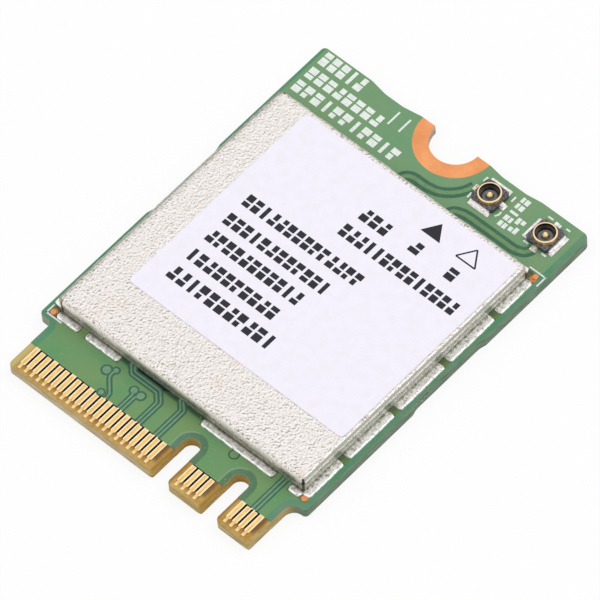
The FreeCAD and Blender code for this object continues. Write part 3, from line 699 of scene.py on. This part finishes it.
for path, width, gap in signal_tracks:
    smooth_path = eased(path, 0.12)
    clearances.append(ribbon(smooth_path, width + 2 * gap))
    copper.append(ribbon(smooth_path, width))
antenna_copper = []
for path, width, gap in antenna_tracks:
    smooth_path = eased(path, 0.9)
    clearances.append(ribbon(smooth_path, width + 2 * gap))
    antenna_copper.append(ribbon(smooth_path, width))
for x, y, radius, gap in via_pads:
    clearances.append(circle(x, y, radius + gap))
    copper.append(circle(x, y, radius))
prisms("track_clearances", clearances, BURIED, CLEARANCE_TOP, CLEARANCE, OVERLAP_STEP)
prisms("tracks", copper, BURIED, TRACK_TOP, TRACK, OVERLAP_STEP)
prisms("antenna_tracks", antenna_copper, BURIED, TRACK_TOP, ANTENNA_TRACK, OVERLAP_STEP)

# Shade of the can on the lacquer before it, and the round mark beside it
can_shade = [(-4.30, -10.02), (-3.60, -10.32), (-1.60, -10.32), (-0.95, -10.02)]
RING_MARK = (5.0, -10.80)
prisms("can_shade", [can_shade], BURIED, CLEARANCE_TOP - SUNK, CLEARANCE_DARK)
prisms("ring_mark", [circle(*RING_MARK, 0.36)], BURIED, CLEARANCE_TOP, RING_DARK)
prisms("ring_mark_middle", [circle(*RING_MARK, 0.28)], BURIED, TRACK_TOP, ANTENNA_TRACK)

# Narrow gold necks that join the signal contacts to their tracks under the lacquer
NECK_HALF = 0.055
NECK_FRONT = -12.98
NECK_TOP = BOARD_TOP - 0.001
neck_xs = (-4.25, -3.70, -2.61, -2.37, -1.10, -0.86, 0.38, 0.62, 8.42, 8.61)
necks = [box_outline(x - NECK_HALF, x + NECK_HALF, NECK_FRONT, MASK_FRONT - SUNK) for x in neck_xs]
prisms("contact_necks", necks, LAMINATE_TOP - SUNK, NECK_TOP, CONTACT_GOLD)

# White print on the board: corner marks, marks round the jacks, and plain blocks in place of lettering
silk = [
    ribbon([(9.60, 10.97), (10.87, 10.97)], 0.10), ribbon([(10.87, 11.02), (10.87, 10.15)], 0.10),
    ribbon([(-10.70, -9.95), (-10.70, -10.71)], 0.10), ribbon([(-10.75, -10.67), (-9.45, -10.67)], 0.11),
    ribbon(eased([(5.60, 12.86), (5.64, 12.62), (5.48, 12.36)], 0.2), 0.12),
    ribbon([(-4.1, 13.2), (-4.1, 14.35)], 0.13), ribbon([(-3.2, 13.2), (-3.2, 14.35)], 0.13),
    box_outline(3.20, 3.34, 13.85, 14.25), box_outline(3.20, 3.36, 12.32, 12.74),
    box_outline(5.50, 5.63, 13.82, 14.26), box_outline(8.02, 8.44, 14.42, 14.54),
    box_outline(9.46, 9.80, 14.44, 14.56), box_outline(8.02, 8.40, 12.10, 12.24),
    box_outline(9.48, 9.86, 12.10, 12.24),
]


def block_row(x0, x1, y0, y1, count, stroke, seed):
    """Plain blocks and bars in a row of equal cells, in place of a line of print."""
    draw = random.Random(seed)
    cell = (x1 - x0) / count
    outlines = []
    for i in range(count):
        a = x0 + cell * (i + 0.10)
        b = x0 + cell * (i + 0.86)
        kind = draw.choice(("pair", "pair", "pair", "post", "low", "high"))
        middle = y0 + (y1 - y0) * draw.choice((0.42, 0.5, 0.58))
        if kind == "post":
            outlines.append(box_outline((a + b) / 2 - stroke * 0.9, (a + b) / 2 + stroke * 0.9, y0, y1))
        else:
            low = b - (b - a) * (0.35 if kind == "low" else 0.0)
            high = a + (b - a) * (0.35 if kind == "high" else 0.0)
            outlines.append(box_outline(a, low, y0, middle - stroke * 0.35))
            outlines.append(box_outline(high, b, middle + stroke * 0.35, y1))
    return outlines


# Rows along the board: left, right, low, high and number of cells
silk_rows = [(-10.6, -7.0, 13.78, 14.85, 5), (-10.6, -4.4, 12.52, 13.42, 8), (-10.6, -1.9, 11.27, 12.18, 11)]
for i, row in enumerate(silk_rows):
    silk += block_row(*row, 0.13, 1 + i)

# Rows across the board: their left edge, front, rear and number of cells
upright_rows = [(5.95, 11.95, 14.65, 5), (6.72, 12.05, 13.35, 2)]
for i, (left, front, rear, count) in enumerate(upright_rows):
    for outline in block_row(front, rear, 0.0, 0.62, count, 0.11, 4 + i):
        silk.append([(left + y, x) for x, y in outline])
prisms("white_marks", silk, BURIED, SILK_TOP, SILK)

# Bare copper at three corners of the can's land
spots = [(-10.37, -10.40), (10.37, -10.40), (10.37, 10.64)]
SPOT_RADIUS = 0.19
SPOT_TOP = BOARD_TOP + 0.05
spot_outlines = [circle(x, y, SPOT_RADIUS, 14) for x, y in spots]
prisms("corner_copper", spot_outlines, BURIED, SPOT_TOP, COPPER)


# Label

LABEL = (-7.85, 9.75, -6.28, 9.95)
LABEL_RADIUS = 0.30
LIFTED_REACH = 1.6
LIFT = BOX_TOP - LABEL_FLAT - SUNK


def label_lines(low, high):
    """Grid lines across the film, close together within its corners and even between them."""
    close = [LABEL_RADIUS * i / 6 for i in range(7)]
    first = low + 2 * LABEL_RADIUS
    last = high - 2 * LABEL_RADIUS
    even = [first + (last - first) * i / 24 for i in range(25)]
    return [low + t for t in close] + even + [high - t for t in reversed(close)]


def label_film():
    """Film with rounded corners, lying flat apart from one corner that has lifted a little."""
    x0, x1, y0, y1 = LABEL
    xs = label_lines(x0, x1)
    ys = label_lines(y0, y1)
    top = []
    under = []
    for y in ys:
        for x in xs:
            middle_x = min(max(x, x0 + LABEL_RADIUS), x1 - LABEL_RADIUS)
            middle_y = min(max(y, y0 + LABEL_RADIUS), y1 - LABEL_RADIUS)
            u = (x - middle_x) / LABEL_RADIUS
            v = (y - middle_y) / LABEL_RADIUS
            px = middle_x + LABEL_RADIUS * u * math.sqrt(1 - v * v / 2)
            py = middle_y + LABEL_RADIUS * v * math.sqrt(1 - u * u / 2)
            lift = max(0.0, 1 - math.hypot(px - x0, py - y0) / LIFTED_REACH) ** 1.5 * LIFT
            top.append((px, py, LABEL_FLAT + lift))
            under.append((px, py, LID_TOP + lift * 0.9))
    faces = sheet_faces(0, len(xs), len(ys), 1, len(xs))
    film = piece("label_film", top + under, faces, WHITE_FILM, True)
    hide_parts("label")


label_film()

# Rows of plain blocks in place of the label's lettering: left, right, low, high and number of cells
print_rows = [
    (-0.30, 2.00, 6.20, 7.15, 3), (-0.50, 8.95, 4.55, 5.52, 14), (-6.45, 3.15, 2.32, 3.28, 14),
    (-6.45, 2.05, 0.57, 1.50, 12), (-6.45, 1.25, -1.05, -0.08, 11), (-6.45, 0.85, -2.80, -1.85, 10),
    (-6.45, 2.15, -4.55, -3.50, 11), (3.50, 4.50, 6.45, 7.32, 1), (6.50, 7.40, 6.38, 7.28, 1),
]
printed = []
for i, (x0, x1, y0, y1, count) in enumerate(print_rows):
    printed += block_row(x0, x1, y0, y1, count, 0.16, 20 + i)

# Two triangles, the second one open
printed.append([(3.28, 8.07), (4.85, 8.07), (4.05, 9.25)])
open_triangle = [(6.20, 8.05), (7.75, 8.05), (6.97, 9.20)]
for a, b in zip(open_triangle, open_triangle[1:] + open_triangle[:1]):
    printed.append(ribbon([a, b], 0.11))
prisms("label_marks", printed, LABEL_FLAT - SUNK, PRINT_TOP, PRINT)


# Solder along the can

SIDES = ("front", "right", "far", "left")


def on_side(name, t, inward):
    """Place at a distance along one side of the can, from its left corner seen from outside."""
    if name == "front":
        return (-CAN_SIDE + t, CAN_FRONT + inward)
    if name == "right":
        return (CAN_SIDE - inward, CAN_FRONT + t)
    if name == "far":
        return (CAN_SIDE - t, CAN_FAR - inward)
    return (-CAN_SIDE + inward, CAN_FAR - t)


# Start and end of each strip along its side
stretches = {
    "front": [(0.0, 1.81), (2.39, 5.11), (11.99, 17.90), (19.16, 20.08)],
    "right": [(-0.12, 3.08), (3.57, 7.65), (8.14, 12.22), (12.71, 16.79), (17.28, 20.26)],
    "far": [(0.30, 1.81), (2.39, 6.16), (7.54, 10.16), (11.54, 17.71), (18.29, 20.0)],
    "left": [(0.30, 3.08), (3.57, 7.65), (8.14, 12.22), (12.71, 16.79), (17.28, 20.2)],
}

# Section of a strip: distance inwards from the wall line, height, and tone of painted light and shade, from
# 0, painted highlight, to 1, painted shade
THINNEST = 0.012
SECTION = [
    (-0.516, THINNEST, 0.10), (-0.500, 0.055, 0.0), (-0.465, 0.088, 0.0), (-0.420, 0.100, 0.0),
    (-0.370, 0.096, 0.0), (-0.310, 0.088, 0.06), (-0.250, 0.082, 0.14), (-0.190, 0.076, 0.24),
    (-0.130, 0.066, 0.36), (-0.080, 0.056, 0.56), (-0.030, 0.044, 0.82), (0.030, 0.036, 1.0),
    (0.146, 0.036, 1.0),
]
SECTION_PITCH = 0.06
END_RADIUS = 0.20
RAGGED = 0.044
STRIP_FOOT = BOARD_TOP - 0.01
STRIP_REACH = {"front": 0.965, "right": 1.08, "far": 1.0, "left": 1.52}
# Share of the painted shade on each side's strips
STRIP_TONE = {"front": 1.0, "right": 0.8, "far": 1.0, "left": 1.0}


def lump(x, y):
    """Swelling of the solder at a place, in broad and fine lumps."""
    broad = noise.noise(Vector((x * 2.6, y * 2.6, 3.0)))
    fine = noise.noise(Vector((x * 6.5, y * 6.5, 9.0)))
    return 0.25 * broad + 0.15 * fine


def strip_section(name, t, roundness):
    """Points across a strip at a place along its side. Roundness falls from 1 to 0 at the strip's end."""
    wavy = RAGGED * noise.noise(Vector((t * 3.1, 0.5, 7.0 + len(name))))
    cut_back = 2 * END_RADIUS * (1 - roundness)
    points = []
    for j, (inward, height, tone) in enumerate(SECTION):
        place = inward
        if inward < 0:
            place = inward * STRIP_REACH[name] - inward * (wavy + cut_back)
        x, y = on_side(name, t, place)
        swell = 1 + lump(x, y) if tone < 0.9 else 1.0
        rounded = 0.35 + 0.65 * roundness if j > 0 else 1.0
        points.append((x, y, BOARD_TOP + max(THINNEST, height * swell * rounded)))
    return points


def solder_strips():
    """Lumpy solder with a painted bright rim and rounded ends, on the land outside the can's wall."""
    vertices = []
    faces = []
    tones = []
    for name, ranges in stretches.items():
        for start, end in ranges:
            count = max(8, int((end - start) / SECTION_PITCH))
            top = []
            for i in range(count + 1):
                t = start + (end - start) * i / count
                u = min(1.0, max(0.0, 1 - min(t - start, end - t) / END_RADIUS))
                top += strip_section(name, t, math.sqrt(1 - u * u))
            faces += sheet_faces(len(vertices), count + 1, len(SECTION), len(SECTION), 1)
            vertices += top + [(x, y, STRIP_FOOT) for x, y, z in top]
            tones += [tone * STRIP_TONE[name] for inward, height, tone in SECTION] * (2 * (count + 1))
    strips = piece("solder_strips", vertices, faces, SOLDER, True)
    strips.data.attributes.new("tone", "FLOAT", "POINT").data.foreach_set("value", tones)
    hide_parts("shield_solder")


solder_strips()


# Lower wall of the can's frame, nearly flush with the lid's skirt, and the lid's left fold

WALL_INSET = 0.07
WALL_SHEET = 0.10
WALL_FOOT = BOARD_TOP + 0.02
WALL_TOP = SKIRT_FOOT - 0.015


def mitred_walls(outer, inner):
    """Outlines of four walls round the can, between two insets from its skirt."""
    out = [on_side(name, outer, outer) for name in SIDES]
    into = [on_side(name, inner, inner) for name in SIDES]
    return [[out[i], out[(i + 1) % 4], into[(i + 1) % 4], into[i]] for i in range(4)]


walls = mitred_walls(WALL_INSET, WALL_INSET + WALL_SHEET)
prisms("frame_wall", walls, WALL_FOOT, WALL_TOP, SHIELD)

# The fold's bulge past the can's side, its radius, its reach into the can and its distance from the corners
FOLD_BULGE = 0.25
FOLD_RADIUS = 0.26
FOLD_INSIDE = 0.25
FOLD_FOOT_INSIDE = 0.13
FOLD_END = 0.21
FOLD_STEPS = 8


def left_fold():
    """The lid's left fold, which bulges a little past the other three, with the frame's wall below it."""
    outer = CAN_SIDE + FOLD_BULGE
    centre_x = outer - FOLD_RADIUS
    centre_z = LID_TOP - 0.0008 - FOLD_RADIUS
    section = [(CAN_SIDE - FOLD_INSIDE, LID_TOP - 0.0010)]
    for i in range(FOLD_STEPS + 1):
        angle = math.pi / 2 * i / FOLD_STEPS
        section.append((centre_x + FOLD_RADIUS * math.sin(angle), centre_z + FOLD_RADIUS * math.cos(angle)))
    section += [(outer, SKIRT_FOOT), (outer - WALL_INSET, SKIRT_FOOT), (outer - WALL_INSET, WALL_FOOT)]
    section.append((CAN_SIDE - FOLD_FOOT_INSIDE, WALL_FOOT))
    vertices = [(-x, y, z) for y in (CAN_FAR - FOLD_END, CAN_FRONT + FOLD_END) for x, z in section]
    piece("left_fold", vertices, prism_faces(0, len(section)), SHIELD)


left_fold()


# Glass fibres at the right edge

FIBRE_COUNT = 26
FIBRES_FRONT = -1.9
FIBRES_LENGTH = 2.3
FIBRE_ROOT = 10.86
FIBRE_LIMIT = 10.99
FIBRE_THICKNESS = 0.05


def edge_fibres():
    """Short glass fibres standing out of the scar at the right edge."""
    draw = random.Random(11)
    outlines = []
    for i in range(FIBRE_COUNT):
        y = FIBRES_FRONT + FIBRES_LENGTH * i / (FIBRE_COUNT - 1) + draw.uniform(-0.04, 0.04)
        tip = min(FIBRE_ROOT + draw.uniform(0.10, 0.24), FIBRE_LIMIT)
        tip_y = y + draw.uniform(-0.10, 0.10)
        outlines.append([(FIBRE_ROOT, y - 0.025), (tip, tip_y - 0.008),
                         (tip, tip_y + 0.008), (FIBRE_ROOT, y + 0.025)])
    vertices = []
    faces = []
    for outline in outlines:
        low = draw.uniform(0.45, 0.74)
        faces += prism_faces(len(vertices), len(outline))
        vertices += [(x, y, z) for z in (low, low + FIBRE_THICKNESS) for x, y in outline]
    piece("edge_fibres", vertices, faces, FIBRE)


edge_fibres()


# Floor, light and camera

def emptied_tree(owner):
    """Node tree of a material or world, with nothing in it."""
    owner.use_nodes = True
    owner.node_tree.nodes.clear()
    return owner.node_tree


def joined(tree, kind, *outputs, **settings):
    """Output of a node that takes other outputs into its first inputs."""
    node = tree.nodes.new(kind)
    for key, value in settings.items():
        setattr(node, key, value)
    for socket, output in zip(node.inputs, outputs):
        tree.links.new(output, socket)
    return node.outputs[0]


def lamp_shader(tree, kind, colour, strength):
    """Output of a glowing node."""
    node = tree.nodes.new(kind)
    node.inputs["Color"].default_value = colour
    node.inputs["Strength"].default_value = strength
    return node.outputs[0]


def studio_floor():
    """Plain white floor that stays white behind the object, takes its shadow and is open from below."""
    mesh = bpy.data.meshes.new("floor")
    half = 3.0
    corners = [(-half, -half, 0), (half, -half, 0), (half, half, 0), (-half, half, 0)]
    mesh.from_pydata(corners, [], [[0, 1, 2, 3]])
    floor = bpy.data.objects.new("floor", mesh)
    bpy.context.scene.collection.objects.link(floor)
    material = bpy.data.materials.new("floor")
    tree = emptied_tree(material)
    path = tree.nodes.new("ShaderNodeLightPath").outputs
    seen = joined(tree, "ShaderNodeMath", path["Is Camera Ray"], path["Is Glossy Ray"], operation="MAXIMUM")
    share = tree.nodes.new("ShaderNodeMath")
    share.operation = "MULTIPLY"
    share.inputs[1].default_value = 0.86
    tree.links.new(seen, share.inputs[0])
    diffuse = tree.nodes.new("ShaderNodeBsdfDiffuse")
    diffuse.inputs["Color"].default_value = (0.94, 0.94, 0.94, 1)
    glow = lamp_shader(tree, "ShaderNodeEmission", (1, 1, 1, 1), 1.0)
    lit = joined(tree, "ShaderNodeMixShader", share.outputs[0], diffuse.outputs[0], glow)
    clear = tree.nodes.new("ShaderNodeBsdfTransparent").outputs[0]
    behind = tree.nodes.new("ShaderNodeNewGeometry").outputs["Backfacing"]
    sided = joined(tree, "ShaderNodeMixShader", behind, lit, clear)
    tree.links.new(sided, tree.nodes.new("ShaderNodeOutputMaterial").inputs["Surface"])
    mesh.materials.append(material)


def studio_world():
    """White surroundings, seen at full white and lighting the object more softly."""
    world = bpy.data.worlds.new("studio")
    bpy.context.scene.world = world
    tree = emptied_tree(world)
    path = tree.nodes.new("ShaderNodeLightPath").outputs
    seen = joined(tree, "ShaderNodeMath", path["Is Camera Ray"], path["Is Glossy Ray"], operation="MAXIMUM")
    seen = joined(tree, "ShaderNodeMath", seen, path["Is Transmission Ray"], operation="MAXIMUM")
    soft = lamp_shader(tree, "ShaderNodeBackground", (1, 1, 1, 1), 0.72)
    full = lamp_shader(tree, "ShaderNodeBackground", (1, 1, 1, 1), 1.0)
    mix = joined(tree, "ShaderNodeMixShader", seen, soft, full)
    tree.links.new(mix, tree.nodes.new("ShaderNodeOutputWorld").inputs["Surface"])


def softbox(name, place, size, watts):
    """Area lamp that faces the middle of the card."""
    data = bpy.data.lights.new(name, "AREA")
    data.shape = "DISK"
    data.size = size
    data.energy = watts
    lamp = bpy.data.objects.new(name, data)
    bpy.context.scene.collection.objects.link(lamp)
    lamp.location = place
    lamp.rotation_mode = "QUATERNION"
    lamp.rotation_quaternion = (-Vector(place)).to_track_quat("-Z", "Y")


studio_floor()
studio_world()
softbox("key", (0.25, 0.42, 0.58), 0.50, 1.55)
softbox("fill", (-0.40, -0.36, 0.60), 0.60, 0.90)

# Camera, fitted to the photo by the card's known outline. Lengths in millimetres
AZIMUTH = math.radians(46.543)
ELEVATION = math.radians(56.606)
ROLL = math.radians(-5.116)
DISTANCE = 558.083
AIM = Vector((0.521, 0.049, 0.8))
FOCAL_PIXELS = 9136.5
PHOTO_PIXELS = 600
SENSOR_WIDTH = 36.0


def photo_camera():
    """Camera that sees the card as the photo does."""
    back = Vector((math.sin(AZIMUTH) * math.cos(ELEVATION), -math.cos(AZIMUTH) * math.cos(ELEVATION),
                   math.sin(ELEVATION)))
    right = Vector((math.cos(AZIMUTH), math.sin(AZIMUTH), 0))
    up = back.cross(right)
    turned_right = math.cos(ROLL) * right + math.sin(ROLL) * up
    turned_up = -math.sin(ROLL) * right + math.cos(ROLL) * up
    data = bpy.data.cameras.new("camera")
    data.sensor_fit = "HORIZONTAL"
    data.sensor_width = SENSOR_WIDTH
    data.lens = FOCAL_PIXELS / PHOTO_PIXELS * SENSOR_WIDTH
    data.clip_start = 0.01
    data.clip_end = 50.0
    camera = bpy.data.objects.new("camera", data)
    bpy.context.scene.collection.objects.link(camera)
    axes = Matrix((turned_right, turned_up, back)).transposed().to_4x4()
    camera.matrix_world = Matrix.Translation((AIM + back * DISTANCE) * MM) @ axes
    bpy.context.scene.camera = camera


photo_camera()
bpy.context.scene.view_settings.view_transform = "Standard"
